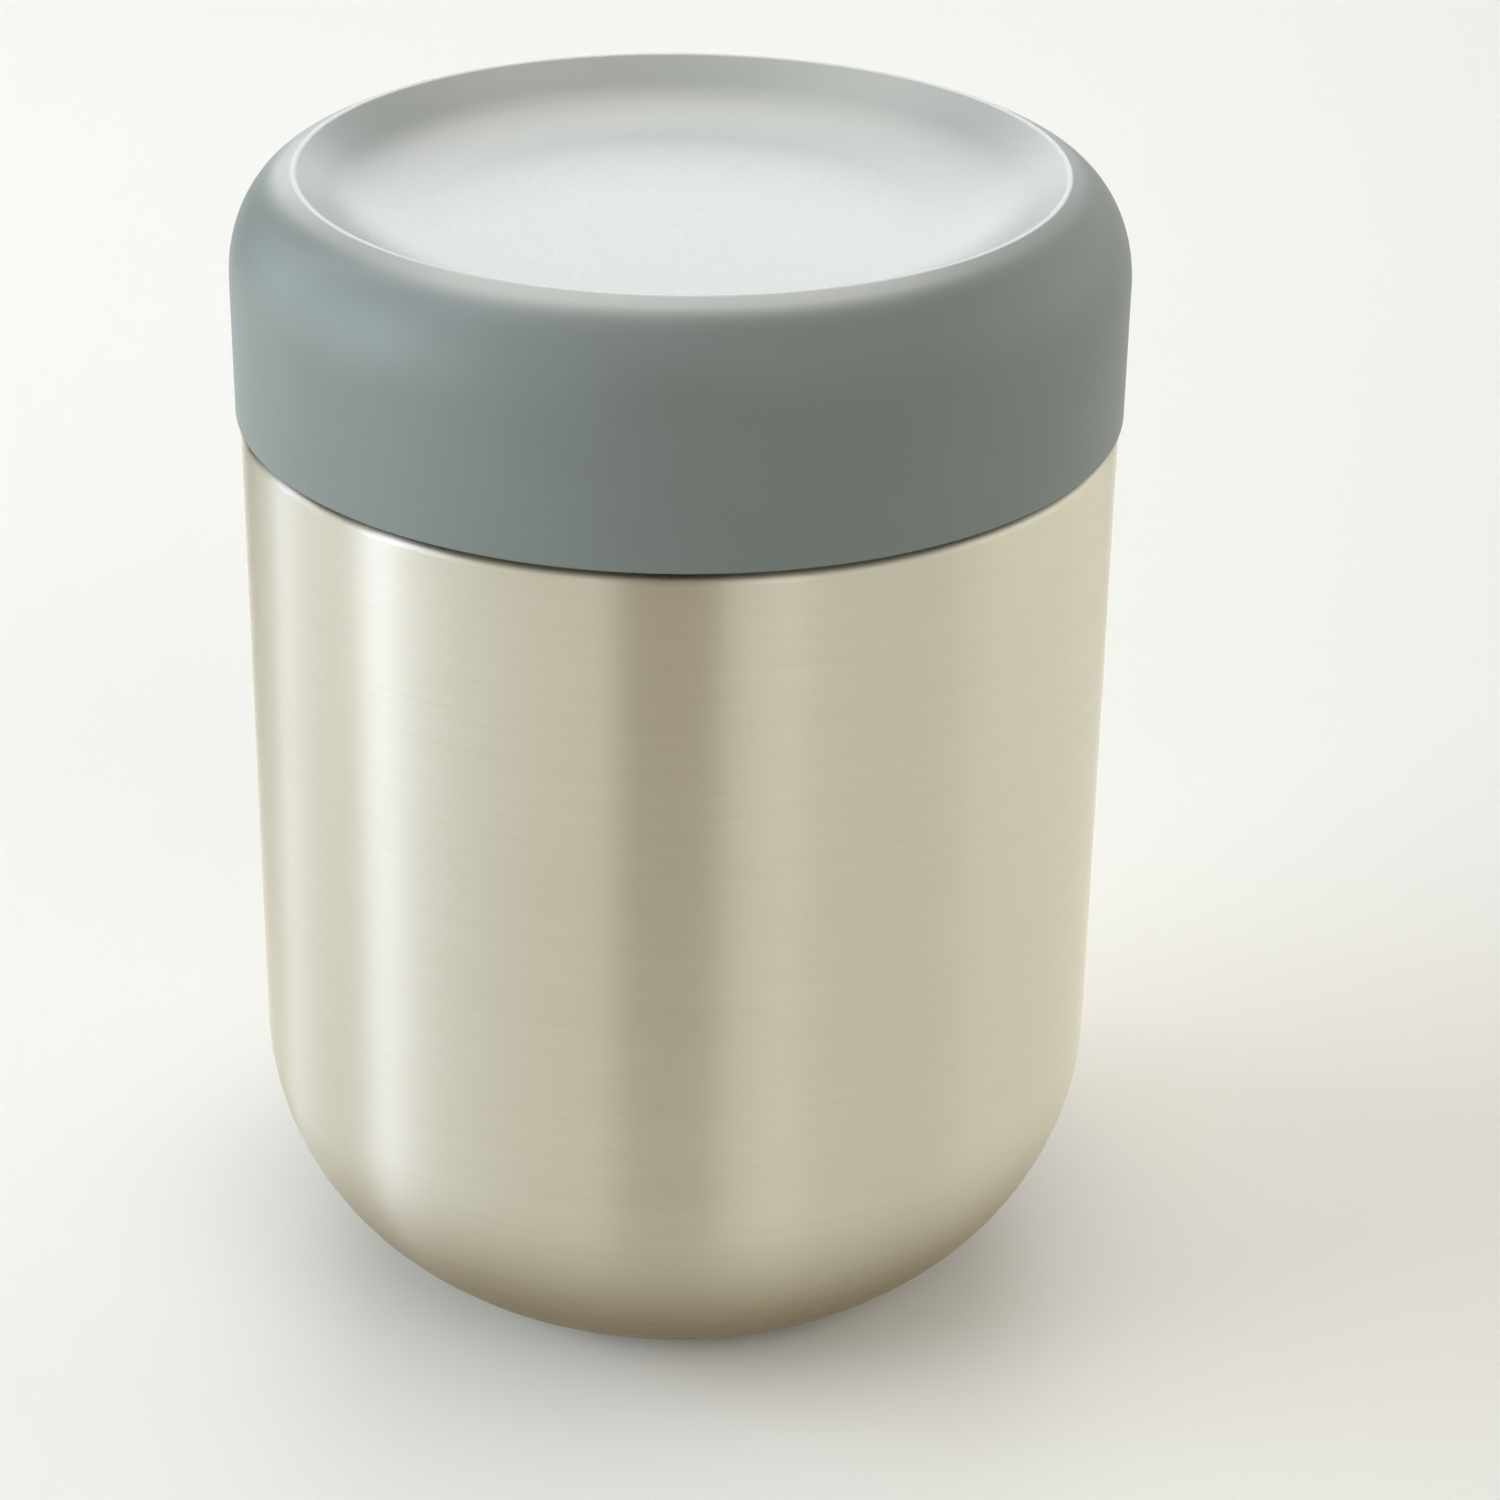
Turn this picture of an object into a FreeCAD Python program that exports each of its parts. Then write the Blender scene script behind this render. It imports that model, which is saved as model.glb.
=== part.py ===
import FreeCAD, Part
import math
import os

# Insulated food jar: a double-walled steel vessel with a softly rounded base, and a moulded
# screw-on lid with a dished top. Lengths are millimetres. +Z is up, and the origin is the
# centre of the narrow ring that the jar stands on.

# Outer skin of the vessel, seen from outside.
body_r = 47.6
shell_t = 0.6
shoulder_z = 103.5
shoulder_round = 1.8
shoulder_w = 5.6
neck_h = 14.0
neck_root_round = 1.2
lip_round = 1.2

# Drawn base bowl, which is welded to the bottom of the wall once the liner is inside.
corner_r = 31.3
foot_r = 25.0
foot_round = 2.0
seam_rise = 1.2
recess_r = 22.0
recess_depth = 1.4
recess_round = 0.8
dimple_r = 7.0
dimple_depth = 1.5
dimple_round = 0.7
pump_hole_r = 1.2
base_cover_t = 0.6
base_cover_fit = 0.15

# Liner that holds the food, and the vacuum space round it.
liner_t = 0.5
vacuum_gap = 5.9
neck_gap = 2.1
floor_gap = 5.5
liner_corner_r = 22.0
liner_neck_rise = 9.0
liner_neck_round = 6.0
foil_t = 0.2
foil_fit = 0.1
foil_margin = 4.0
foil_slit_deg = 3.0

# Getter pellet and its spring clip on the base bowl.
getter_r = 3.5
getter_h = 1.6
getter_margin = 7.0
clip_t = 0.3
clip_w = 3.0
clip_foot = 2.5

# Screw-on lid.
lid_proud = 0.4
lid_gap = 0.8
lid_edge_round = 1.2
cover_t = 2.2
crown_run = 8.2
crown_rise = 11.1
crest_round = 1.1
dish_depth = 5.6
dish_angle_deg = 40.0
dish_blend = 18.0
head_room = 1.4

# Threaded insert inside the lid, with the insulated plug that hangs into the mouth.
thread_room = 1.9
skirt_fit = 0.1
web_t = 1.8
insert_round = 1.5
plug_gap = 1.8
plug_depth = 11.8
plug_wall = 1.6
plug_round = 3.0
groove_depth = 0.6
foam_fit = 0.2
hold_ring_r = 25.0
hold_ring_t = 1.4
rib_count = 12
rib_w = 1.6
rib_gap = 0.4

# Snap bead and keys that hold the insert in the cover.
snap_h = 0.5
snap_proud = 0.4
snap_fit = 0.2
key_count = 6
key_w = 4.0
key_proud = 0.8
key_fit = 0.1

# Silicone ring on the lip.
gasket_t = 1.7
gasket_fit = 0.1
gasket_overhang = 0.7
gasket_bead = 0.3
lip_clearance = 0.1

# Places that follow from the sizes above.
shell_in_r = body_r - shell_t
neck_r = body_r - shoulder_w
lip_z = shoulder_z + neck_h
liner_out_r = shell_in_r - vacuum_gap
liner_r = liner_out_r - liner_t
mouth_r = neck_r - shell_t - neck_gap - liner_t
lip_mid_r = (neck_r + mouth_r) / 2
foot_slope = math.asin((foot_r - body_r + corner_r) / (corner_r - foot_round))
corner_centre_z = foot_round + (corner_r - foot_round) * math.cos(foot_slope)
seam_z = corner_centre_z + seam_rise
getter_place_r = recess_r - getter_margin
liner_floor_z = recess_depth + shell_t + floor_gap + liner_t
liner_top_z = shoulder_z - shell_t - vacuum_gap
lid_r = body_r + lid_proud
lid_z = shoulder_z + lid_gap
web_z = lip_z + lip_clearance + gasket_bead + gasket_t
web_top_z = web_z + web_t
dish_z = web_top_z + head_room + cover_t
top_z = dish_z + dish_depth
crown_z = top_z - crown_rise
crest_r = lid_r - crown_run
dish_angle = math.radians(dish_angle_deg)
cover_in_r = lid_r - cover_t
insert_r = cover_in_r - skirt_fit
insert_z = lid_z + lid_edge_round + snap_h + snap_fit
bore_r = neck_r + thread_room
plug_r = mouth_r - plug_gap
plug_z = web_z - plug_depth
groove_r = plug_r - groove_depth
cup_r = groove_r - plug_wall
cup_z = plug_z + plug_wall

AXIS = FreeCAD.Vector(0, 0, 1)
TINY = 1e-6


def at(r, z):
    """Point of a half section, at radius r and height z."""
    return FreeCAD.Vector(r, 0, z)


def rounded(corners, closed=False):
    """Edges through (radius, height, rounding) corners, with a tangent arc at each rounded one."""
    points = [at(r, z) for r, z, _ in corners]
    last = len(points) - 1
    entries = list(points)
    exits = list(points)
    arcs = {}
    for i, (_, _, rounding) in enumerate(corners):
        if rounding <= 0:
            continue
        here = points[i]
        back = (points[i - 1] - here).normalize()
        ahead = (points[0 if i == last else i + 1] - here).normalize()
        half = back.getAngle(ahead) / 2
        reach = rounding / math.tan(half)
        entries[i] = here + back * reach
        exits[i] = here + ahead * reach
        inward = (back + ahead).normalize()
        middle = here + inward * (rounding / math.sin(half) - rounding)
        arcs[i] = Part.Arc(entries[i], middle, exits[i]).toShape()
    edges = []
    for i in range(last + 1):
        if i in arcs:
            edges.append(arcs[i])
        following = 0 if i == last else i + 1
        open_end = i == last and not closed
        if not open_end and exits[i].distanceToPoint(entries[following]) > TINY:
            edges.append(Part.LineSegment(exits[i], entries[following]).toShape())
    return edges


def offset(path, distance):
    """Open path moved to its left by a distance, with its roundings kept concentric."""
    points = [at(r, z) for r, z, _ in path]
    sides = []
    for start, end in zip(points, points[1:]):
        run = (end - start).normalize()
        sides.append(at(-run.z, run.x) * distance)
    moved = [(points[0] + sides[0], 0)]
    for i in range(1, len(points) - 1):
        before = sides[i - 1]
        after = sides[i]
        mitre = (before + after) * (distance ** 2 / (distance ** 2 + before.dot(after)))
        left_turn = before.x * after.z - before.z * after.x > 0
        change = -distance if left_turn else distance
        rounding = path[i][2]
        moved.append((points[i] + mitre, max(rounding + change, 0) if rounding else 0))
    moved.append((points[-1] + sides[-1], 0))
    return [(point.x, point.z, rounding) for point, rounding in moved]


def turned(edges, degrees=360):
    """Solid of revolution about the jar's axis from the edges of a closed half section."""
    face = Part.Face(Part.Wire(Part.__sortEdges__(edges)))
    return face.revolve(at(0, 0), AXIS, degrees)


def turned_section(corners):
    return turned(rounded(corners, closed=True))


def sheet(path, thickness):
    """Formed sheet metal: one face follows the path, and the other stands off to its left."""
    return turned_section(path + offset(path, thickness)[::-1])


def block(width, r_from, r_to, z_from, z_to):
    """Radial bar of a given width, along +X."""
    corner = FreeCAD.Vector(r_from, -width / 2, z_from)
    return Part.makeBox(r_to - r_from, width, z_to - z_from, corner)


def around(shape, count):
    """Copies of a shape, spaced evenly about the axis."""
    copies = []
    for i in range(count):
        copy = shape.copy()
        copy.rotate(at(0, 0), AXIS, 360 * i / count)
        copies.append(copy)
    return copies


def outer_shell():
    """Straight wall, flat shoulder and neck, curled in at the lip."""
    return sheet([
        (body_r, seam_z, 0),
        (body_r, shoulder_z, shoulder_round),
        (neck_r, shoulder_z, neck_root_round),
        (neck_r, lip_z, lip_round),
        (lip_mid_r, lip_z, 0),
    ], shell_t)


def outer_base():
    """Drawn bowl: pump-out dimple, cover recess, standing ring and the large corner curve."""
    dimple_z = recess_depth + dimple_depth
    tangent_r = foot_r + foot_round * math.tan(foot_slope / 2)
    tangent_z = corner_centre_z - corner_r * math.tan(math.pi / 4 - foot_slope / 2)
    return sheet([
        (pump_hole_r, dimple_z, 0),
        (dimple_r - dimple_depth, dimple_z, dimple_round),
        (dimple_r, recess_depth, dimple_round),
        (recess_r, recess_depth, recess_round),
        (recess_r, 0, recess_round),
        (tangent_r, 0, foot_round),
        (body_r, tangent_z, corner_r),
        (body_r, seam_z, 0),
    ], shell_t)


def base_cover():
    """Thin disc that hides the pump-out dimple."""
    cover_r = recess_r - recess_round - base_cover_fit
    low = recess_depth - base_cover_t
    return turned_section([
        (0, low, 0),
        (cover_r, low, base_cover_t / 2),
        (cover_r, recess_depth, 0),
        (0, recess_depth, 0),
    ])


def vacuum_seal():
    """Bead that closes the pump-out hole: a button in the dimple with a stem in the hole."""
    dimple_z = recess_depth + dimple_depth
    bead_r = (dimple_r - dimple_depth) / 2
    bead_z = recess_depth + dimple_depth / 3
    return turned_section([
        (0, bead_z, 0),
        (bead_r, bead_z, dimple_depth / 3),
        (bead_r, dimple_z, 0),
        (pump_hole_r, dimple_z, 0),
        (pump_hole_r, dimple_z + shell_t, 0),
        (0, dimple_z + shell_t, 0),
    ])


def inner_liner():
    """Drawn cup with a large bottom curve, narrowed to the mouth and curled out at the lip."""
    return sheet([
        (0, liner_floor_z, 0),
        (liner_r, liner_floor_z, liner_corner_r),
        (liner_r, liner_top_z, liner_neck_round),
        (mouth_r, liner_top_z + liner_neck_rise, liner_neck_round),
        (mouth_r, lip_z, lip_round),
        (lip_mid_r, lip_z, 0),
    ], -liner_t)


def foil_wrap():
    """Reflecting foil wrapped once round the straight part of the liner, its ends not meeting."""
    inner = liner_out_r + foil_fit
    low = liner_floor_z + liner_corner_r
    high = liner_top_z - foil_margin
    edges = rounded([
        (inner, low, 0),
        (inner + foil_t, low, 0),
        (inner + foil_t, high, 0),
        (inner, high, 0),
    ], closed=True)
    return turned(edges, 360 - foil_slit_deg)


def getter():
    """Gas-absorbing pellet that stands on the base bowl inside the vacuum."""
    place = at(getter_place_r, recess_depth + shell_t)
    return Part.makeCylinder(getter_r, getter_h, place)


def getter_clip():
    """Strip bent over the pellet, with a foot welded to the bowl at each side."""
    floor_z = recess_depth + shell_t
    top = floor_z + getter_h + clip_t
    half = getter_r + clip_t
    bridge = block(clip_w, -half, half, floor_z, top)
    bridge = bridge.cut(block(clip_w, -getter_r, getter_r, floor_z, floor_z + getter_h))
    feet = [
        block(clip_w, -half - clip_foot, -half, floor_z, floor_z + clip_t),
        block(clip_w, half, half + clip_foot, floor_z, floor_z + clip_t),
    ]
    clip = bridge.fuse(feet).removeSplitter()
    clip.rotate(at(0, 0), AXIS, 90)
    clip.translate(at(getter_place_r, 0))
    return clip


def dome(run, rise, side_r, low, low_round):
    """Edges of a domed half section: base, straight side and elliptical crown, up to the crest."""
    centre = at(side_r - run, crown_z)
    crown = Part.Ellipse(at(centre.x, crown_z + rise), at(side_r, crown_z), centre)
    edges = rounded([(0, low, 0), (side_r, low, low_round), (side_r, crown_z, 0)])
    edges.append(Part.ArcOfEllipse(crown, 0, math.pi / 2).toShape())
    return edges


def lid_cover():
    """Outer lid moulding: straight side, elliptical crown, narrow crest and shallow dish.

    The room inside is the same dome less the wall, kept off the dish by the same wall. A ring
    under the dish keeps the foam seated, and a bead near the edge snaps under the insert.
    """
    dish_edge_r = crest_r - crest_round * math.tan(dish_angle / 2)
    dish_foot_r = dish_edge_r - dish_depth / math.tan(dish_angle)
    outside = dome(crown_run, crown_rise, lid_r, lid_z, lid_edge_round)
    outside += rounded([
        (crest_r, top_z, 0),
        (dish_edge_r, top_z, crest_round),
        (dish_foot_r, dish_z, dish_blend),
        (0, dish_z, 0),
        (0, lid_z, 0),
    ])
    inside = dome(crown_run - cover_t, crown_rise - cover_t, cover_in_r, lid_z - lid_gap, 0)
    inside += rounded([
        (crest_r, top_z - cover_t, 0),
        (0, top_z - cover_t, 0),
        (0, lid_z - lid_gap, 0),
    ])
    over_r = dish_edge_r + cover_t / math.tan(dish_angle)
    under_dish = offset([
        (over_r, top_z + cover_t, 0),
        (dish_foot_r, dish_z, dish_blend),
        (0, dish_z, 0),
    ], cover_t)
    dish_block = turned_section(under_dish + [(0, under_dish[0][1], 0)])
    cover = turned(outside).cut(turned(inside).cut(dish_block))
    slot = block(key_w + 2 * key_fit, bore_r, insert_r + key_proud + key_fit, lid_z, crown_z)
    cover = cover.cut(around(slot, key_count))
    snap = turned_section([
        (cover_in_r, lid_z + lid_edge_round, 0),
        (cover_in_r, lid_z + lid_edge_round + snap_h, 0),
        (cover_in_r - snap_proud, lid_z + lid_edge_round + snap_h / 2, 0),
    ])
    hold_ring = turned_section([
        (hold_ring_r, web_top_z + foam_fit, 0),
        (hold_ring_r + hold_ring_t, web_top_z + foam_fit, 0),
        (hold_ring_r + hold_ring_t, dish_z - cover_t / 2, 0),
        (hold_ring_r, dish_z - cover_t / 2, 0),
    ])
    return cover.fuse([snap, hold_ring]).removeSplitter()


def lid_insert():
    """Inner lid moulding: bore for the neck, web over the lip and a cup-shaped plug.

    Ribs stiffen the web, and keys on the skirt sit in the cover's slots so that both turn together.
    """
    body = turned_section([
        (0, plug_z, 0),
        (plug_r, plug_z, plug_round),
        (plug_r, web_z - gasket_t - gasket_fit, 0),
        (groove_r, web_z - gasket_t - gasket_fit, 0),
        (groove_r, web_z, 0),
        (bore_r, web_z, 0),
        (bore_r, insert_z, 0),
        (insert_r, insert_z, 0),
        (insert_r, web_top_z, insert_round),
        (cup_r, web_top_z, 0),
        (cup_r, cup_z, plug_round - plug_wall),
        (0, cup_z, 0),
    ])
    rib_top = web_top_z + head_room - rib_gap
    rib = block(rib_w, cup_r + rib_w / 2, bore_r - rib_w, web_top_z - web_t / 2, rib_top)
    key_top = crown_z - key_fit
    key = block(key_w, bore_r + key_proud, insert_r + key_proud, insert_z, key_top)
    return body.fuse(around(rib, rib_count) + around(key, key_count)).removeSplitter()


def lid_foam():
    """Insulating disc that fills the plug's cup."""
    foam_r = cup_r - foam_fit
    return turned_section([
        (0, cup_z + foam_fit, 0),
        (foam_r, cup_z + foam_fit, plug_round),
        (foam_r, web_top_z, 0),
        (0, web_top_z, 0),
    ])


def lid_gasket():
    """Silicone ring held in the plug's groove, with a low bead that seals on the lip."""
    high = web_z - gasket_fit
    low = web_z - gasket_t
    inner = groove_r + gasket_fit
    outer = neck_r + gasket_overhang
    return turned_section([
        (inner, low, 0),
        (lip_mid_r - gasket_t / 2, low, 0),
        (lip_mid_r, low - gasket_bead, gasket_bead),
        (lip_mid_r + gasket_t / 2, low, 0),
        (outer, low, gasket_bead),
        (outer, high, gasket_bead),
        (inner, high, 0),
    ])


PIECES = (
    outer_shell, outer_base, base_cover, vacuum_seal, inner_liner, foil_wrap, getter,
    getter_clip, lid_cover, lid_insert, lid_foam, lid_gasket,
)

os.makedirs("parts", exist_ok=True)
for make in PIECES:
    solid = make()
    solid.exportStep(os.path.join("parts", make.__name__ + ".step"))
    box = solid.BoundBox
    print(make.__name__, "solids", len(solid.Solids), "valid", solid.isValid(),
          "volume", round(solid.Volume), "z", round(box.ZMin, 3), round(box.ZMax, 3),
          "r", round(box.XMax, 3))
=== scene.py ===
# %% [markdown]
# # A steel food jar with a dished grey lid
# This lesson dresses a jar that already exists as solid parts. The solids carry the sizes and the
# motion. Blender gives each visible part a finer surface, a finish and some light. We start by
# loading the solids. Each of them sits at the origin with its place in its mesh, in metres.

# %% Load the solid parts
import math

import bpy
import numpy as np
from mathutils import Matrix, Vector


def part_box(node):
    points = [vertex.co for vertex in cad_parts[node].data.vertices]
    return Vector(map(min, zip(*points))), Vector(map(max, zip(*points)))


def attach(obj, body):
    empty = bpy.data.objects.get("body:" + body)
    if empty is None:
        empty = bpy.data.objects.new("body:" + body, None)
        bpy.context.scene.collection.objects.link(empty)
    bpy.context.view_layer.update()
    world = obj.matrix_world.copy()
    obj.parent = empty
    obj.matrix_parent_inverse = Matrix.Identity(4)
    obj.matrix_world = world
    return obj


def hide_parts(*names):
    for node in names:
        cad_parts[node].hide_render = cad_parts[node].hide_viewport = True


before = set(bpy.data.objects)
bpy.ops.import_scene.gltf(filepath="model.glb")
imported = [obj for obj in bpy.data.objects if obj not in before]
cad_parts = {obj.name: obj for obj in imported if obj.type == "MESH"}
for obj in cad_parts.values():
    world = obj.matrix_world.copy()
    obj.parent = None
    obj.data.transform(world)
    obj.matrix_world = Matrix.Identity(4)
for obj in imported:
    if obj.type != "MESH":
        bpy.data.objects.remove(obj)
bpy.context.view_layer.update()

print("solid parts:", sorted(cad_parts))

# %% [markdown]
# ## Sizes that the solids give
# Heights and radii are read from the solid parts, so that a new piece always fits its
# neighbours. The few sizes that a box can't tell, such as a rounding, are written once here.

# %% Read the sizes
MM = 0.001
lid_low, lid_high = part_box("lid_cover")
shell_low, shell_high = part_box("outer_shell")
liner_low, liner_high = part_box("inner_liner")

lid_r = lid_high.x
lid_z = lid_low.z
top_z = lid_high.z
body_r = shell_high.x
seam_z = shell_low.z
lip_z = shell_high.z

steel_t = 0.6 * MM
lid_gap = 0.65 * MM
shelf_z = lid_z - lid_gap
shelf_round = 0.8 * MM
neck_r = 42.0 * MM
neck_root_round = 1.2 * MM
lip_round = 1.2 * MM
mouth_r = 38.8 * MM
lip_mid_r = (neck_r + mouth_r) / 2
print("lid radius", round(lid_r, 5), "body radius", round(body_r, 5), "height", round(top_z, 5))

# %% [markdown]
# ## Drawing a half section
# Almost every part of the jar is round, so it can be drawn as half a section and spun about
# the middle. A corner is given as radius, height and rounding. The helper swaps each rounded
# corner for a tangent arc in steps of six degrees, close enough to look smooth when shaded.

# %% Half-section helper
ARC_STEP = math.radians(6)


def outline(corners):
    """Points of an open outline through (radius, height, rounding) corners."""
    points = []
    for i, (r, z, rounding) in enumerate(corners):
        here = np.array([r, z])
        if rounding <= 0:
            points.append(here)
            continue
        back = np.array(corners[i - 1][:2]) - here
        ahead = np.array(corners[i + 1][:2]) - here
        back /= np.linalg.norm(back)
        ahead /= np.linalg.norm(ahead)
        half = math.acos(float(np.clip(back @ ahead, -1, 1))) / 2
        inward = (back + ahead) / np.linalg.norm(back + ahead)
        centre = here + inward * rounding / math.sin(half)
        turn = math.pi - 2 * half
        steps = max(2, math.ceil(turn / ARC_STEP))
        side = 1 if back[0] * ahead[1] - back[1] * ahead[0] < 0 else -1
        start = here + back * rounding / math.tan(half) - centre
        for k in range(steps + 1):
            a = side * turn * k / steps
            spun = np.array([
                start[0] * math.cos(a) - start[1] * math.sin(a),
                start[0] * math.sin(a) + start[1] * math.cos(a),
            ])
            points.append(centre + spun)
    return [(float(p[0]), float(p[1])) for p in points]


# %% [markdown]
# ## Spinning a half section into a part
# By hand, one vertex is extruded from point to point to draw the outline, and Spin carries
# the line round the axis. Spin leaves a double row where the turn closes, so doubles are
# merged, the edge left on the axis is deleted and the normals are turned outwards. Loading
# leaves the solids selected, so everything is deselected before an operator runs. Each
# point's distance along the outline is kept as an attribute, because the brushed grain
# follows it later.

# %% Spin helper
ROUND_STEPS = 192
WELD = 1e-7
TURN_WELD = 1e-6
SMOOTH_BELOW = math.radians(30)


def start_edit(piece):
    bpy.ops.object.select_all(action="DESELECT")
    piece.select_set(True)
    bpy.context.view_layer.objects.active = piece
    bpy.ops.object.mode_set(mode="EDIT")
    bpy.ops.mesh.select_all(action="SELECT")


def draw_line(name, points):
    """A new object that is one chain of edges through points (x, y, z)."""
    bpy.ops.object.select_all(action="DESELECT")
    bpy.ops.mesh.primitive_plane_add(size=MM)
    piece = bpy.context.object
    piece.name = name
    piece.data.name = name
    start_edit(piece)
    bpy.ops.mesh.merge(type="CENTER")
    bpy.ops.transform.translate(value=points[0])
    for before, after in zip(points, points[1:]):
        step = [b - a for a, b in zip(before, after)]
        bpy.ops.mesh.extrude_region_move(TRANSFORM_OT_translate={"value": step})
    return piece


def spin_section(name, section, closed=True):
    """Spin (radius, height) points about the axis, as one closed wall or an open skin."""
    ring = section + section[:1] if closed else section
    piece = draw_line(name, [(r, 0, z) for r, z in ring])
    bpy.ops.mesh.select_all(action="SELECT")
    bpy.ops.mesh.remove_doubles(threshold=WELD)
    bpy.ops.mesh.select_all(action="SELECT")
    bpy.ops.mesh.spin(steps=ROUND_STEPS, angle=2 * math.pi, center=(0, 0, 0), axis=(0, 0, 1))
    bpy.ops.mesh.select_all(action="SELECT")
    bpy.ops.mesh.remove_doubles(threshold=TURN_WELD)
    bpy.ops.mesh.delete_loose(use_verts=True, use_edges=True, use_faces=False)
    bpy.ops.mesh.select_all(action="SELECT")
    bpy.ops.mesh.normals_make_consistent(inside=False)
    bpy.ops.object.mode_set(mode="OBJECT")
    bpy.ops.object.shade_smooth_by_angle(angle=SMOOTH_BELOW)
    mark_along(piece, section)
    print(name, "faces", len(piece.data.polygons))
    return piece


def mark_along(piece, section):
    """Store how far along the section each vertex lies, in metres."""
    line = np.array(section)
    steps = np.linalg.norm(np.diff(line, axis=0), axis=1)
    length = np.concatenate([[0], np.cumsum(steps)])
    co = np.empty(len(piece.data.vertices) * 3)
    piece.data.vertices.foreach_get("co", co)
    co = co.reshape(-1, 3)
    place = np.stack([np.hypot(co[:, 0], co[:, 1]), co[:, 2]], axis=1)
    gaps = np.linalg.norm(place[:, None] - line[None], axis=2)
    along = piece.data.attributes.new("along", "FLOAT", "POINT")
    along.data.foreach_set("value", length[gaps.argmin(axis=1)].astype(np.float32))


# %% [markdown]
# ## Material helper
# Every finish starts from the Principled shader. The helper makes the material, hands back
# its nodes and sets the numbers that are the same all over on the shader's own sockets.

# %% Material helper
def new_finish(name, **sockets):
    finish = bpy.data.materials.new(name)
    finish.use_nodes = True
    nodes = finish.node_tree.nodes
    shader = nodes["Principled BSDF"]
    for socket, value in sockets.items():
        shader.inputs[socket.replace("_", " ")].default_value = value
    return finish, nodes, finish.node_tree.links, shader


def add_noise(nodes, links, vector, scale, detail, roughness=0.5):
    noise = nodes.new("ShaderNodeTexNoise")
    noise.inputs["Scale"].default_value = scale
    noise.inputs["Detail"].default_value = detail
    noise.inputs["Roughness"].default_value = roughness
    links.new(vector, noise.inputs["Vector"])
    return noise.outputs["Fac"]


def remap(nodes, links, value, low, high, from_low=0.3, from_high=0.7, smooth=False):
    """Stretch a value to the range low to high. A noise stays near its middle by itself."""
    node = nodes.new("ShaderNodeMapRange")
    node.interpolation_type = "SMOOTHSTEP" if smooth else "LINEAR"
    node.inputs["From Min"].default_value = from_low
    node.inputs["From Max"].default_value = from_high
    node.inputs["To Min"].default_value = low
    node.inputs["To Max"].default_value = high
    links.new(value, node.inputs["Value"])
    return node.outputs["Result"]


def blend_colours(nodes, links, value, dark, light):
    """Run from a dark to a light colour as value goes from 0 to 1."""
    ramp = nodes.new("ShaderNodeValToRGB")
    ramp.color_ramp.elements[0].color = (*dark, 1)
    ramp.color_ramp.elements[1].color = (*light, 1)
    links.new(value, ramp.inputs["Fac"])
    return ramp.outputs["Color"]


def add_up(nodes, links, first, second):
    node = nodes.new("ShaderNodeMath")
    node.operation = "ADD"
    links.new(first, node.inputs[0])
    links.new(second, node.inputs[1])
    return node.outputs["Value"]


def bump(nodes, links, shader, height, strength, distance):
    node = nodes.new("ShaderNodeBump")
    node.inputs["Strength"].default_value = strength
    node.inputs["Distance"].default_value = distance
    links.new(height, node.inputs["Height"])
    links.new(node.outputs["Normal"], shader.inputs["Normal"])


# %% [markdown]
# ## Brushed steel
# The wall is brushed round its axis, so the grain is long round the jar and very fine along
# the outline. The noise reads the flat X and Y of the object, which barely change along a
# scratch, and the stored distance along the outline, stretched hundreds of times. A cylinder
# of such scratches smears each reflection up and down but keeps it narrow, so that lamps
# turn into upright bands. The shader is fully anisotropic for that, with its tangent round Z
# turned by a quarter, and a shallow bump of the same grain widens the smear a little more.
# Low down, where the bowl rolls under, shade is painted into the base colour: the metal turns
# darker and browner there, as painted shade for the dark under the jar that it would reflect. The
# metal is also made smoother there.

# %% Brushed steel finish
SCRATCHES = ((70, 8000), (28, 2600), (9, 150))
FINE_SHARES = (0.55, 0.45)
STREAK_ROUGH = 0.01
GRAIN_DEPTH = 0.03 * MM
FOOT_LOW = 6 * MM
FOOT_HIGH = 30 * MM
# Colour of the painted shade where the bowl rolls under; the base colour is multiplied by it near
# the foot.
FOOT_SHADE_TINT = (0.40, 0.33, 0.22)
FOOT_SMOOTHER = -0.14


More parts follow.
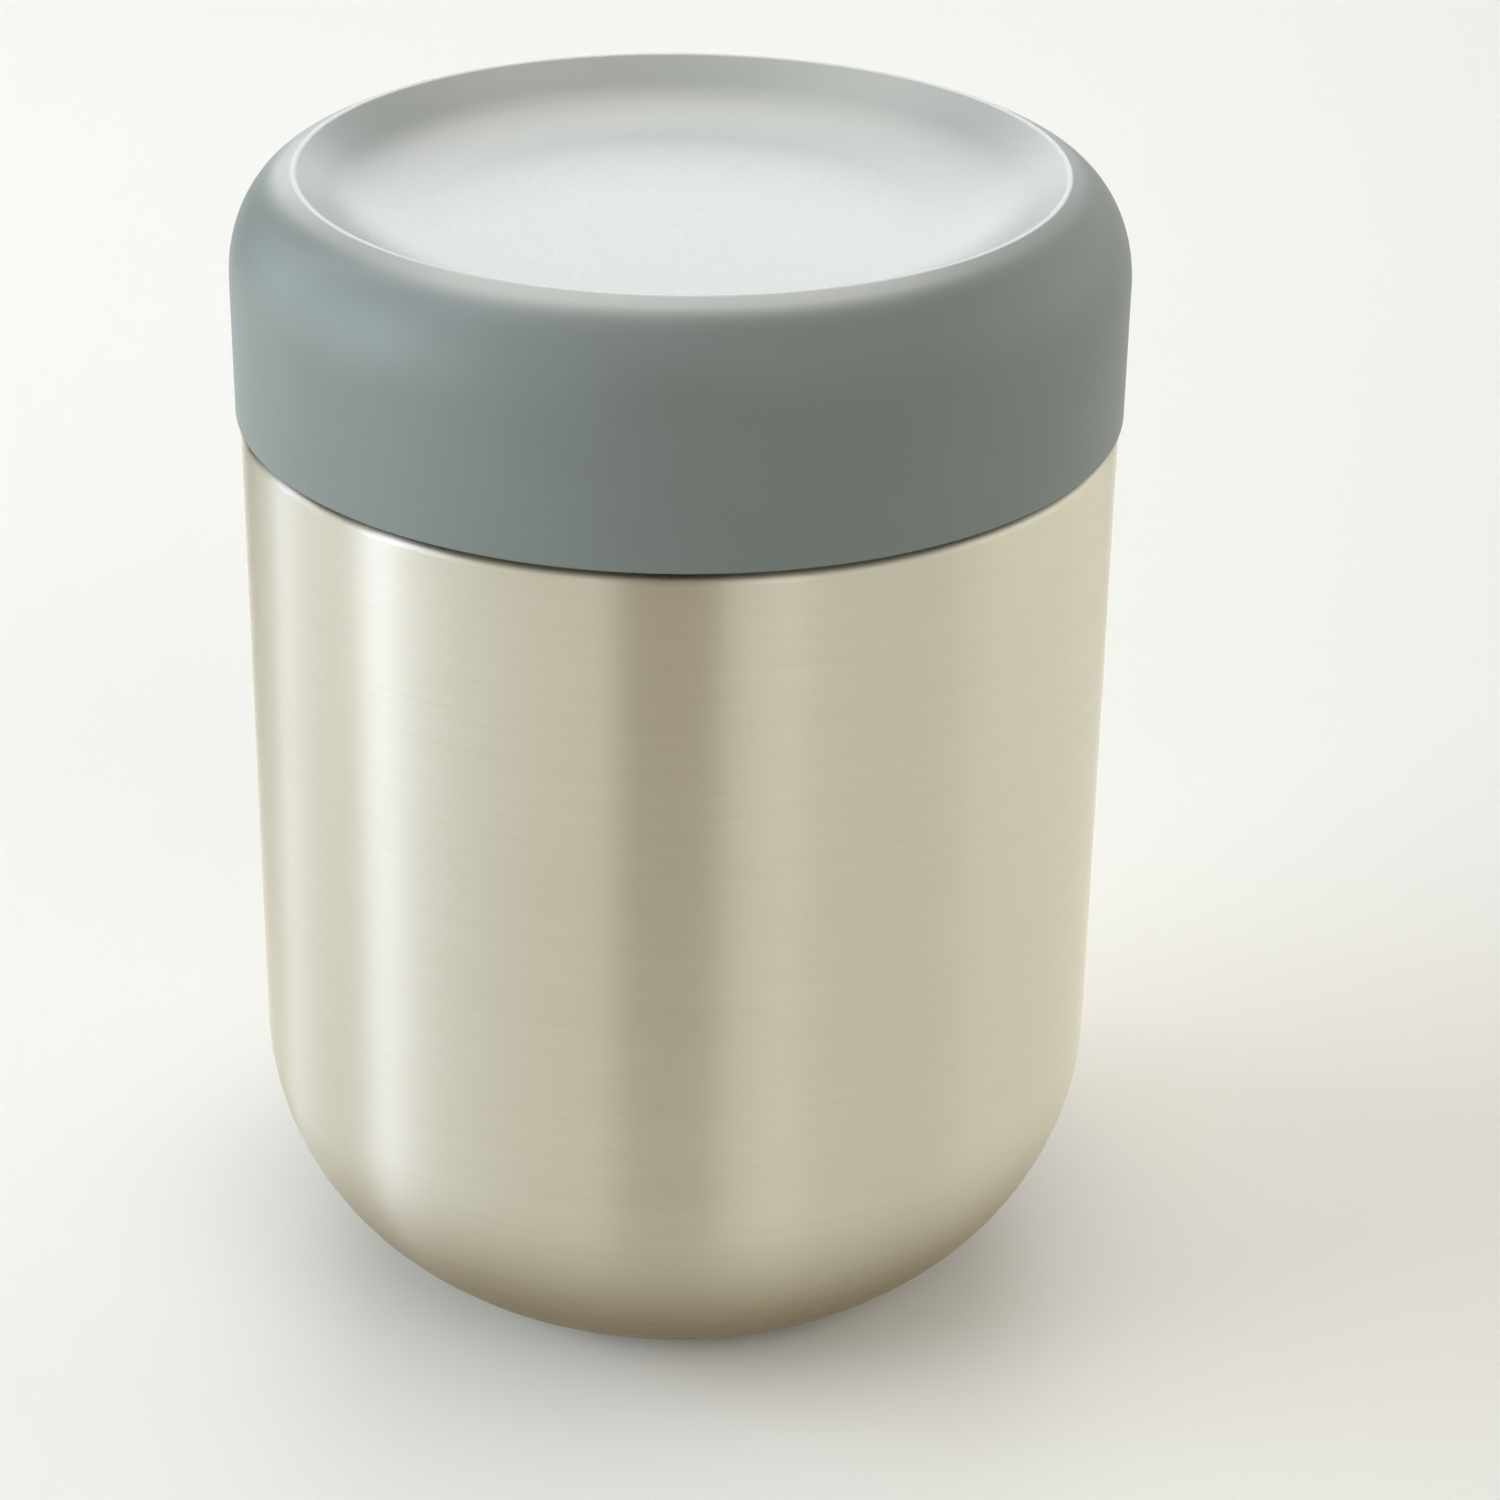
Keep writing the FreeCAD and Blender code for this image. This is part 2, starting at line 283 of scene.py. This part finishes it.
def brushed_steel(name, dark, light, rough_low, rough_high, relief=0.35):
    finish, nodes, links, shader = new_finish(
        name, Metallic=1.0, Anisotropic=1.0, Anisotropic_Rotation=0.25)
    place = nodes.new("ShaderNodeTexCoord").outputs["Object"]
    split = nodes.new("ShaderNodeSeparateXYZ")
    links.new(place, split.inputs["Vector"])
    along = nodes.new("ShaderNodeAttribute")
    along.attribute_name = "along"
    grain = []
    for round_scale, along_scale in SCRATCHES:
        vector = nodes.new("ShaderNodeCombineXYZ")
        for source, scale, target in (
                (split.outputs["X"], round_scale, "X"),
                (split.outputs["Y"], round_scale, "Y"),
                (along.outputs["Fac"], along_scale, "Z")):
            times = nodes.new("ShaderNodeMath")
            times.operation = "MULTIPLY"
            times.inputs[1].default_value = scale
            links.new(source, times.inputs[0])
            links.new(times.outputs["Value"], vector.inputs[target])
        grain.append(add_noise(nodes, links, vector.outputs["Vector"], 1.0, 2))
    fine = add_up(nodes, links, remap(nodes, links, grain[0], 0, FINE_SHARES[0]),
                  remap(nodes, links, grain[1], 0, FINE_SHARES[1]))
    # Painted shade: this mask is 1 at the foot and 0 above FOOT_HIGH. It darkens and browns the
    # base colour and lowers the roughness.
    foot_shade_and_smooth = remap(nodes, links, split.outputs["Z"], 1, 0, FOOT_LOW, FOOT_HIGH, smooth=True)
    painted_foot_shade = nodes.new("ShaderNodeVectorMath")
    painted_foot_shade.operation = "MULTIPLY"
    links.new(blend_colours(nodes, links, fine, dark, light), painted_foot_shade.inputs[0])
    links.new(blend_colours(nodes, links, foot_shade_and_smooth, (1, 1, 1), FOOT_SHADE_TINT), painted_foot_shade.inputs[1])
    links.new(painted_foot_shade.outputs["Vector"], shader.inputs["Base Color"])
    rough = add_up(nodes, links, remap(nodes, links, grain[0], rough_low, rough_high),
                   remap(nodes, links, grain[2], -STREAK_ROUGH, STREAK_ROUGH))
    rough = add_up(nodes, links, rough, remap(nodes, links, foot_shade_and_smooth, 0, FOOT_SMOOTHER, 0, 1))
    links.new(rough, shader.inputs["Roughness"])
    tangent = nodes.new("ShaderNodeTangent")
    tangent.direction_type = "RADIAL"
    tangent.axis = "Z"
    links.new(tangent.outputs["Tangent"], shader.inputs["Tangent"])
    bump(nodes, links, shader, fine, relief, GRAIN_DEPTH)
    return finish


outer_steel = brushed_steel(
    "outer_steel", dark=(0.705, 0.665, 0.530), light=(0.755, 0.715, 0.580),
    rough_low=0.38, rough_high=0.43)
print("finish", outer_steel.name)

# %% [markdown]
# ## The outer wall and neck
# The wall is one drawn skin: straight side, small rounded shoulder, flat shelf, neck and a lip
# that curls inwards. The narrow gap under the lid's crisp edge reads as a dark line. Only the
# wall's outer face is drawn. Solidify then gives the sheet its thickness,
# away from the side that is seen. The cut ends are sharp, so smoothing is set again after it:
# otherwise the two sheets would show a bright line where they meet.

# %% Outer wall
def give_wall(piece, thickness, along_normals=False):
    wall = piece.modifiers.new("wall", "SOLIDIFY")
    wall.thickness = thickness
    wall.offset = 1 if along_normals else -1
    wall.use_even_offset = True
    bpy.ops.object.select_all(action="DESELECT")
    piece.select_set(True)
    bpy.context.view_layer.objects.active = piece
    bpy.ops.object.modifier_apply(modifier="wall")
    bpy.ops.object.shade_smooth_by_angle(angle=SMOOTH_BELOW)


def finish_piece(piece, material, body, slot, *nodes):
    """Dress a piece, let it ride its body and let it stand for its solid parts."""
    piece.data.materials.clear()
    piece.data.materials.append(material)
    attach(piece, body)
    if nodes:
        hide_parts(*nodes)


wall_line = outline([
    (body_r, seam_z, 0),
    (body_r, shelf_z, shelf_round),
    (neck_r, shelf_z, neck_root_round),
    (neck_r, lip_z, lip_round),
    (lip_mid_r, lip_z, 0),
])
wall_skin = spin_section("wall_skin", wall_line, closed=False)
give_wall(wall_skin, steel_t)
finish_piece(wall_skin, outer_steel, "vessel", "outer_steel", "outer_shell")

# %% [markdown]
# ## The base bowl
# The wall runs into a large, soft corner and a narrow standing ring. The corner is one arc,
# and a second, small arc rolls it onto the table. The angle where the two arcs meet follows
# from their radii. Inside the ring a shallow recess holds a thin disc, which hides a dimple
# with the hole that the air was pumped out of.
# Known fault: the recess has two roundings of 0.8 mm in a depth of 1.4 mm, so the line folds
# back by 0.2 mm there. Solidify turns the fold into a thin hidden fin that stands 28 mm high
# inside the jar. With recess_round at 0.65 mm the fin is gone.

# %% Base bowl
corner_r = 31.3 * MM
foot_r = 25.0 * MM
foot_round = 2.0 * MM
recess_r = 22.0 * MM
recess_depth = 1.4 * MM
recess_round = 0.8 * MM
dimple_r = 7.0 * MM
dimple_depth = 1.5 * MM
dimple_round = 0.7 * MM
pump_hole_r = 1.2 * MM
foot_slope = math.asin((foot_r - body_r + corner_r) / (corner_r - foot_round))
corner_centre_z = foot_round + (corner_r - foot_round) * math.cos(foot_slope)
dimple_z = recess_depth + dimple_depth
base_line = outline([
    (pump_hole_r, dimple_z, 0),
    (dimple_r - dimple_depth, dimple_z, dimple_round),
    (dimple_r, recess_depth, dimple_round),
    (recess_r, recess_depth, recess_round),
    (recess_r, 0, recess_round),
    (foot_r + foot_round * math.tan(foot_slope / 2), 0, foot_round),
    (body_r, corner_centre_z - corner_r * math.tan(math.pi / 4 - foot_slope / 2), corner_r),
    (body_r, seam_z, 0),
])
base_skin = spin_section("base_skin", base_line, closed=False)
give_wall(base_skin, steel_t)
finish_piece(base_skin, outer_steel, "vessel", "outer_steel", "outer_base")

# %% [markdown]
# ## The disc under the base
# A thin steel disc lies in the recess. Its half section starts and ends on the axis, so the
# spin closes it by itself. The rim is rolled, which catches a fine line of light.

# %% Base disc
disc_t = 0.6 * MM
disc_fit = 0.15 * MM
disc_r = recess_r - recess_round - disc_fit
disc_z = recess_depth - disc_t
base_disc = spin_section("base_disc", outline([
    (0, disc_z, 0),
    (disc_r, disc_z, disc_t / 2),
    (disc_r, recess_depth, 0),
    (0, recess_depth, 0),
]), closed=False)
finish_piece(base_disc, outer_steel, "vessel", "outer_steel", "base_cover")

# %% [markdown]
# ## The liner
# The cup for the food is thinner, brighter steel. The face towards the food is the one drawn.
# Known fault: its normals point to the food too, and the sheet grows along them. So the cup is
# 0.5 mm narrower than the solid and stands 0.5 mm above the lip. Without along_normals=True
# the sheet lies where the solid has it.

# %% Inner liner
liner_t = 0.5 * MM
liner_r = liner_high.x - liner_t
liner_floor_z = liner_low.z + liner_t
liner_corner_r = 22.0 * MM
liner_top_drop = 7.3 * MM
liner_top_z = lid_z - liner_top_drop
liner_neck_rise = 9.0 * MM
liner_neck_round = 6.0 * MM
liner_steel = brushed_steel(
    "liner_steel", dark=(0.60, 0.595, 0.575), light=(0.66, 0.655, 0.635),
    rough_low=0.30, rough_high=0.36)
liner_skin = spin_section("liner_skin", outline([
    (0, liner_floor_z, 0),
    (liner_r, liner_floor_z, liner_corner_r),
    (liner_r, liner_top_z, liner_neck_round),
    (mouth_r, liner_top_z + liner_neck_rise, liner_neck_round),
    (mouth_r, lip_z, lip_round),
    (lip_mid_r, lip_z, 0),
]), closed=False)
give_wall(liner_skin, liner_t, along_normals=True)
finish_piece(liner_skin, liner_steel, "vessel", "liner_steel", "inner_liner")

# %% [markdown]
# ## The screw thread on the neck
# Three thread starts are rolled into the neck. Each climbs 12 mm in a full turn, which is also
# how far the lid rises in a turn, so the two threads never meet. One start is a small rounded
# section, swept up a helix by the Screw modifier. Its ends are eased into the wall by moving
# their points, as a sculptor would, and closed.

# %% Screw thread
THREAD_LEAD = 12.0 * MM
THREAD_STARTS = 3
THREAD_SUNK = 0.15 * MM
THREAD_STEP_DEG = 2.0
THREAD_EASE_DEG = 24.0
END_SHARE = 0.05
START_SLACK = 0.01


def thread_start(
        name, wall_r, crest_r, middle_z, sweep_deg, start_deg, root_w, crest_w, edge_round):
    """One ridge that climbs from middle_z, standing off a wall of radius wall_r."""
    root_r = wall_r - math.copysign(THREAD_SUNK, crest_r - wall_r)
    section = outline([
        (root_r, -root_w / 2, 0),
        (crest_r, -crest_w / 2, edge_round),
        (crest_r, crest_w / 2, edge_round),
        (root_r, root_w / 2, 0),
    ])
    bearing = math.radians(start_deg)
    ring = [(r * math.cos(bearing), r * math.sin(bearing), middle_z + z)
            for r, z in section + section[:1]]
    ridge = draw_line(name, ring)
    bpy.ops.mesh.select_all(action="SELECT")
    bpy.ops.mesh.remove_doubles(threshold=WELD)
    bpy.ops.object.mode_set(mode="OBJECT")
    sweep = ridge.modifiers.new("sweep", "SCREW")
    sweep.axis = "Z"
    sweep.angle = math.radians(sweep_deg)
    sweep.screw_offset = THREAD_LEAD * sweep_deg / 360
    sweep.steps = round(sweep_deg / THREAD_STEP_DEG)
    sweep.render_steps = sweep.steps
    bpy.ops.object.modifier_apply(modifier="sweep")
    for vertex in ridge.data.vertices:
        x, y, z = vertex.co
        turned = math.atan2(y, x) - bearing + START_SLACK
        turned_deg = math.degrees(turned) % 360 - math.degrees(START_SLACK)
        ends = min(turned_deg, sweep_deg - turned_deg) / THREAD_EASE_DEG
        share = END_SHARE + (1 - END_SHARE) * math.sin(min(max(ends, 0), 1) * math.pi / 2)
        line_z = middle_z + THREAD_LEAD * turned_deg / 360
        radius = math.hypot(x, y)
        pull = (root_r + (radius - root_r) * share) / radius
        vertex.co = (x * pull, y * pull, line_z + (z - line_z) * share)
    start_edit(ridge)
    bpy.ops.mesh.fill_holes(sides=0)
    bpy.ops.mesh.select_all(action="SELECT")
    bpy.ops.mesh.normals_make_consistent(inside=False)
    bpy.ops.object.mode_set(mode="OBJECT")
    return ridge


def screw_thread(name, start_from_deg, **shape):
    """All thread starts of one wall as a single piece."""
    ridges = []
    for k in range(THREAD_STARTS):
        start_deg = start_from_deg + 360 * k / THREAD_STARTS
        ridges.append(thread_start(name + str(k), start_deg=start_deg, **shape))
    bpy.ops.object.select_all(action="DESELECT")
    for ridge in ridges:
        ridge.select_set(True)
    bpy.context.view_layer.objects.active = ridges[0]
    bpy.ops.object.join()
    thread = bpy.context.object
    thread.name = name
    thread.data.name = name
    bpy.ops.object.shade_smooth_by_angle(angle=SMOOTH_BELOW)
    along = thread.data.attributes.new("along", "FLOAT", "POINT")
    along.data.foreach_set("value", [vertex.co.z for vertex in thread.data.vertices])
    print(name, "faces", len(thread.data.polygons))
    return thread


thread_from_deg = -60
thread_z = 107.2 * MM
thread_root_w = 1.8 * MM
neck_crest_r = 43.2 * MM
neck_thread = screw_thread(
    "neck_thread", start_from_deg=thread_from_deg, wall_r=neck_r, crest_r=neck_crest_r,
    middle_z=thread_z, sweep_deg=200, root_w=thread_root_w, crest_w=0.7 * MM,
    edge_round=0.4 * MM)
finish_piece(neck_thread, outer_steel, "vessel", "outer_steel")

# %% [markdown]
# ## Lid plastic
# The lid is a soft, matte grey with a cool, slightly green cast. Fine moulded texture breaks up
# its highlights, and a slow cloud of tone keeps broad areas from looking flat.

# %% Lid plastic finish
CLOUD_SCALE = 45
TEXTURE_RELIEF = 0.12


def moulded_plastic(name, dark, light, rough_low, rough_high, grain_scale=4500):
    finish, nodes, links, shader = new_finish(name, IOR=1.5)
    place = nodes.new("ShaderNodeTexCoord").outputs["Object"]
    cloud = add_noise(nodes, links, place, CLOUD_SCALE, 3)
    grain = add_noise(nodes, links, place, grain_scale, 2)
    colour = blend_colours(nodes, links, remap(nodes, links, cloud, 0, 1), dark, light)
    links.new(colour, shader.inputs["Base Color"])
    rough = remap(nodes, links, grain, rough_low, rough_high)
    links.new(rough, shader.inputs["Roughness"])
    bump(nodes, links, shader, grain, TEXTURE_RELIEF, GRAIN_DEPTH)
    return finish


lid_plastic = moulded_plastic(
    "lid_plastic", dark=(0.138, 0.161, 0.149), light=(0.152, 0.175, 0.163),
    rough_low=0.36, rough_high=0.46)

# %% [markdown]
# ## The crown of the lid
# The lid's side rolls over into a crown that is most of a quarter ellipse. It could be an arc,
# but the crown is higher than it is wide. It stops while it still slopes and runs on straight
# to the crest, so the crest is a crisp line of light and the far side of the crown hides
# behind it.

# %% Crown helper
cover_t = 2.2 * MM
lid_edge_round = 0.5 * MM
crown_run = 8.2 * MM
crown_rise = 11.1 * MM
crest_round = 0.8 * MM
crest_w = 0.45 * MM
dish_depth = 5.6 * MM
dish_blend = 19.0 * MM
dish_angle = math.radians(34)
CROWN_STEPS = 24
CROWN_END = 0.81
INNER_CROWN_END = 0.82

crown_z = top_z - crown_rise
dish_z = top_z - dish_depth


def crown(run, rise, end_share):
    """Points of the first share of a quarter ellipse that rises from the lid's side."""
    points = []
    for k in range(CROWN_STEPS + 1):
        a = end_share * k / CROWN_STEPS * math.pi / 2
        points.append((lid_r - crown_run + run * math.cos(a), crown_z + rise * math.sin(a)))
    return points


# %% [markdown]
# ## The lid
# Outside, the section goes up the side, over the crown and the narrow crest, and down the
# sloping wall of the dish, which eases into a flat floor. The inside follows at the wall's
# thickness. Both lines together close the half section, so one spin gives the whole cover.

# %% Lid cover
inner_side_r = lid_r - cover_t
inner_blend = dish_blend / 3
outside = outline([
    (inner_side_r, lid_z, 0),
    (lid_r, lid_z, lid_edge_round),
    (lid_r, crown_z, 0),
])[:-1] + crown(crown_run, crown_rise, CROWN_END)
(before_r, before_z), (crown_end_r, crown_end_z) = outside[-2:]
end_slope = (crown_end_z - before_z) / (before_r - crown_end_r)
crest_r = crown_end_r - (top_z - crown_end_z) / end_slope
dish_edge_r = crest_r - crest_w
dish_foot_r = dish_edge_r - dish_depth / math.tan(dish_angle)
print("crest radius", round(crest_r, 5), "dish floor from", round(dish_foot_r, 5))
dish_line = outline([
    (crown_end_r, crown_end_z, 0),
    (crest_r, top_z, crest_round),
    (dish_edge_r, top_z, crest_round),
    (dish_foot_r, dish_z, dish_blend),
    (0, dish_z, 0),
])[1:]
inner_foot_r = dish_foot_r - cover_t * math.tan(dish_angle / 2)
inner_crown = crown(crown_run - cover_t, crown_rise - cover_t, INNER_CROWN_END)[::-1]
inner_peak_r, inner_peak_z = inner_crown[0]
inside = outline([
    (0, dish_z - cover_t, 0),
    (inner_foot_r, dish_z - cover_t, inner_blend),
    (inner_peak_r, inner_peak_z, 0),
])[:-1] + inner_crown
lid_skin = spin_section("lid_skin", outside + dish_line + inside)
finish_piece(lid_skin, lid_plastic, "lid", "lid_plastic", "lid_cover")

# %% [markdown]
# ## The screw thread inside the lid
# The insert's bore carries the matching ridges, which point inwards. They sit half a pitch
# from those of the neck, so that each runs between two of the other.

# %% Insert thread
insert_plastic = moulded_plastic(
    "insert_plastic", dark=(0.17, 0.20, 0.195), light=(0.19, 0.22, 0.215),
    rough_low=0.40, rough_high=0.50)
pitch = THREAD_LEAD / THREAD_STARTS
bore_r = 43.9 * MM
bore_crest_r = 42.6 * MM
insert_thread = screw_thread(
    "insert_thread", start_from_deg=thread_from_deg, wall_r=bore_r, crest_r=bore_crest_r,
    middle_z=thread_z + pitch / 2, sweep_deg=150, root_w=thread_root_w, crest_w=0.8 * MM,
    edge_round=0.25 * MM)
finish_piece(insert_thread, insert_plastic, "lid", "insert_plastic")

# %% [markdown]
# ## Solids that keep their shape
# The insert, the silicone ring and the small parts inside the walls already have the right
# shape, so they only get a finish.

# %% Dress the remaining solids
foam = moulded_plastic(
    "foam", dark=(0.72, 0.72, 0.69), light=(0.84, 0.84, 0.81),
    rough_low=0.80, rough_high=0.95, grain_scale=900)
silicone = moulded_plastic(
    "silicone", dark=(0.62, 0.64, 0.64), light=(0.70, 0.72, 0.72),
    rough_low=0.38, rough_high=0.48)


MOTTLE_SCALE = 400
MOTTLE_ROUGH = 0.1


def soft_metal(name, dark, light, rough):
    """Plain metal with a little mottling, for parts inside the walls."""
    finish, nodes, links, shader = new_finish(name, Metallic=1.0)
    place = nodes.new("ShaderNodeTexCoord").outputs["Object"]
    cloud = remap(nodes, links, add_noise(nodes, links, place, MOTTLE_SCALE, 3), 0, 1)
    links.new(blend_colours(nodes, links, cloud, dark, light), shader.inputs["Base Color"])
    rough_cloud = remap(nodes, links, cloud, rough, rough + MOTTLE_ROUGH)
    links.new(rough_cloud, shader.inputs["Roughness"])
    return finish


dressing = {
    "getter_clip": liner_steel,
    "lid_insert": insert_plastic,
    "lid_foam": foam,
    "lid_gasket": silicone,
    "foil_wrap": soft_metal("copper_foil", (0.72, 0.36, 0.24), (0.84, 0.46, 0.32), 0.2),
    "getter": soft_metal("getter_alloy", (0.16, 0.16, 0.17), (0.24, 0.24, 0.25), 0.6),
    "vacuum_seal": soft_metal("solder_glass", (0.08, 0.085, 0.09), (0.12, 0.13, 0.135), 0.3),
}
for name, material in dressing.items():
    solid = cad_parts[name]
    solid.data.materials.clear()
    solid.data.materials.append(material)
print("dressed", sorted(dressing))

# %% [markdown]
# ## Floor
# The jar stands on a wide, pale, plain floor with hardly any gloss. It isn't part of the jar.

# %% Floor
FLOOR_R = 8.0
FLOOR_SIDES = 96
FLOOR_CLOUD_SCALE = 3
bpy.ops.object.select_all(action="DESELECT")
bpy.ops.mesh.primitive_circle_add(vertices=FLOOR_SIDES, radius=FLOOR_R, fill_type="NGON")
floor = bpy.context.object
floor.name = "floor"
floor_finish, floor_nodes, floor_links, floor_shader = new_finish(
    "floor_finish", Roughness=0.5, Specular_IOR_Level=0.1)
floor_place = floor_nodes.new("ShaderNodeTexCoord").outputs["Object"]
floor_cloud = add_noise(floor_nodes, floor_links, floor_place, FLOOR_CLOUD_SCALE, 3)
floor_colour = blend_colours(
    floor_nodes, floor_links, remap(floor_nodes, floor_links, floor_cloud, 0, 1),
    (0.815, 0.815, 0.80), (0.83, 0.83, 0.815))
floor_links.new(floor_colour, floor_shader.inputs["Base Color"])
floor.data.materials.append(floor_finish)

# %% [markdown]
# ## Light
# White paper in full light should come out near white. So each lamp is set by how bright its
# panel looks, where 1 is white paper, and its power is that brightness times its area times
# pi. Soft lamps light colours but don't show in reflections. The others do the opposite and
# leave the floor alone: narrow tall strips draw the upright bands on the steel, and two
# panels behind give the sheen in the dish.

# %% Lamps
def panel(name, bearing_deg, distance, height, width, tall, brightness, colour, shows):
    """Area lamp at a bearing from the camera's side, counted to the right, aimed at the jar."""
    bearing = math.radians(bearing_deg)
    place = (distance * math.sin(bearing), -distance * math.cos(bearing), height)
    bpy.ops.object.light_add(type="AREA", location=place)
    lamp = bpy.context.object
    lamp.name = name
    lamp.data.shape = "RECTANGLE"
    lamp.data.size = width
    lamp.data.size_y = tall
    lamp.data.energy = brightness * width * tall * math.pi
    lamp.data.color = colour
    lamp.visible_glossy = shows
    lamp.visible_diffuse = not shows
    drop = height - top_z / 2
    lamp.rotation_euler = (math.atan2(distance, drop), 0, bearing)


DAYLIGHT = (0.97, 0.985, 1.0)
COOL = (0.64, 0.745, 1.1)
SKY = (0.84, 0.915, 0.99)
WARM = (1.0, 0.975, 0.92)
# name, bearing, distance, height, width, tall, brightness, colour
SOFT_LAMPS = (
    ("top_soft", 0, 0.3, 1.7, 1.8, 1.8, 0.35, WARM),
    ("front_soft", 24, 1.2, 0.85, 1.4, 0.7, 1.75, WARM),
    ("left_soft", -84, 1.3, 0.30, 1.2, 0.8, 8.8, SKY),
    ("right_soft", 108, 1.3, 0.30, 1.2, 0.8, 2.1, WARM),
)
SHEEN_LAMPS = (
    ("back_window", -172, 1.7, 1.02, 1.9, 1.35, 4.8, DAYLIGHT),
    ("back_high", -172, 0.7, 1.6, 1.6, 1.1, 8.3, WARM),
    ("left_strip", -79, 0.85, 0.62, 0.21, 1.24, 3.5, COOL),
    ("left_far_strip", -116, 0.95, 0.62, 0.19, 1.24, 2.7, COOL),
    ("front_strip", 27, 0.90, 0.62, 0.14, 1.24, 0.5, DAYLIGHT),
    ("right_window", 107, 1.4, 0.62, 1.75, 1.2, 0.45, DAYLIGHT),
)
for lamp_sizes in SOFT_LAMPS:
    panel(*lamp_sizes, shows=False)
for lamp_sizes in SHEEN_LAMPS:
    panel(*lamp_sizes, shows=True)
print("lamps", len(SOFT_LAMPS) + len(SHEEN_LAMPS))

# %% [markdown]
# ## Dark cards
# Bright metal needs something dark to reflect, or it looks like paint. A low brown card stands
# between the jar and the camera and gives the dark stripe, and a grey one behind on the left
# darkens the edge of the wall. Only reflections see them: they throw no shadow and never hide
# the jar.

# %% Dark cards
def dark_card(name, bearing_deg, distance, low, width, tall, colour):
    bearing = math.radians(bearing_deg)
    bpy.ops.object.select_all(action="DESELECT")
    bpy.ops.mesh.primitive_plane_add(size=1)
    card = bpy.context.object
    card.name = name
    start_edit(card)
    bpy.ops.transform.resize(value=(width, tall, 1))
    bpy.ops.object.mode_set(mode="OBJECT")
    card.location = (
        distance * math.sin(bearing), -distance * math.cos(bearing), low + tall / 2)
    card.rotation_euler = (math.pi / 2, 0, bearing)
    finish, _, _, _ = new_finish(
        name, Base_Color=(*colour, 1), Roughness=0.9, Specular_IOR_Level=0.0)
    card.data.materials.append(finish)
    card.visible_camera = False
    card.visible_diffuse = False
    card.visible_shadow = False


dark_card("front_card", -2, 0.28, 0.04, 0.12, 0.24, (0.16, 0.06, 0.01))
dark_card("back_card", -140, 0.60, 0.0, 0.20, 0.80, (0.05, 0.06, 0.065))

# %% [markdown]
# ## The room
# The world lights the jar softly and a little warmly. What the camera and every reflection
# see of it is a paler backdrop, so that metal shows the same background as the picture.

# %% World
ROOM_COLOUR = (1.0, 0.965, 0.89)
ROOM_STRENGTH = 0.43
BACKDROP_COLOUR = (0.92, 0.92, 0.905)
room = bpy.data.worlds.new("room")
bpy.context.scene.world = room
room.use_nodes = True
room_nodes = room.node_tree.nodes
room_links = room.node_tree.links
sky = room_nodes["Background"]
sky.inputs["Color"].default_value = (*ROOM_COLOUR, 1)
sky.inputs["Strength"].default_value = ROOM_STRENGTH
backdrop = room_nodes.new("ShaderNodeBackground")
backdrop.inputs["Color"].default_value = (*BACKDROP_COLOUR, 1)
backdrop.inputs["Strength"].default_value = 1.0
rays = room_nodes.new("ShaderNodeLightPath")
seen = add_up(room_nodes, room_links, rays.outputs["Is Camera Ray"], rays.outputs["Is Glossy Ray"])
seen = add_up(room_nodes, room_links, seen, rays.outputs["Is Transmission Ray"])
choose = room_nodes.new("ShaderNodeMixShader")
room_links.new(seen, choose.inputs["Fac"])
room_links.new(sky.outputs["Background"], choose.inputs[1])
room_links.new(backdrop.outputs["Background"], choose.inputs[2])
room_links.new(choose.outputs["Shader"], room_nodes["World Output"].inputs["Surface"])

scene = bpy.context.scene
scene.view_settings.view_transform = "Standard"

# %% [markdown]
# ## Camera
# The photograph looks down on the jar by about 27 degrees from arm's length. Pitch, height and
# distance were solved from the jar's outline, in jar radii, and so was the focal length. The
# camera is turned a little because the jar stands left of the middle.

# %% Camera
SENSOR_WIDTH = 36
PHOTO_PIXELS = 1500
FOCAL_PIXELS = 3800
CAMERA_DISTANCE = 432.4 * MM
AIM_HEIGHT = 61.35 * MM
CAMERA_PITCH = 0.46425
CAMERA_YAW = 0.018902
CAMERA_ROLL = 0.006752
bpy.ops.object.camera_add()
camera = bpy.context.object
camera.data.sensor_width = SENSOR_WIDTH
camera.data.lens = camera.data.sensor_width * FOCAL_PIXELS / PHOTO_PIXELS
camera.data.clip_start = 0.01
camera_place = Matrix.Translation((
    0,
    -CAMERA_DISTANCE * math.cos(CAMERA_PITCH),
    AIM_HEIGHT + CAMERA_DISTANCE * math.sin(CAMERA_PITCH),
))
camera.matrix_world = (
    camera_place
    @ Matrix.Rotation(math.pi / 2 - CAMERA_PITCH, 4, "X")
    @ Matrix.Rotation(-CAMERA_YAW, 4, "Y")
    @ Matrix.Rotation(CAMERA_ROLL, 4, "Z")
)
scene.camera = camera
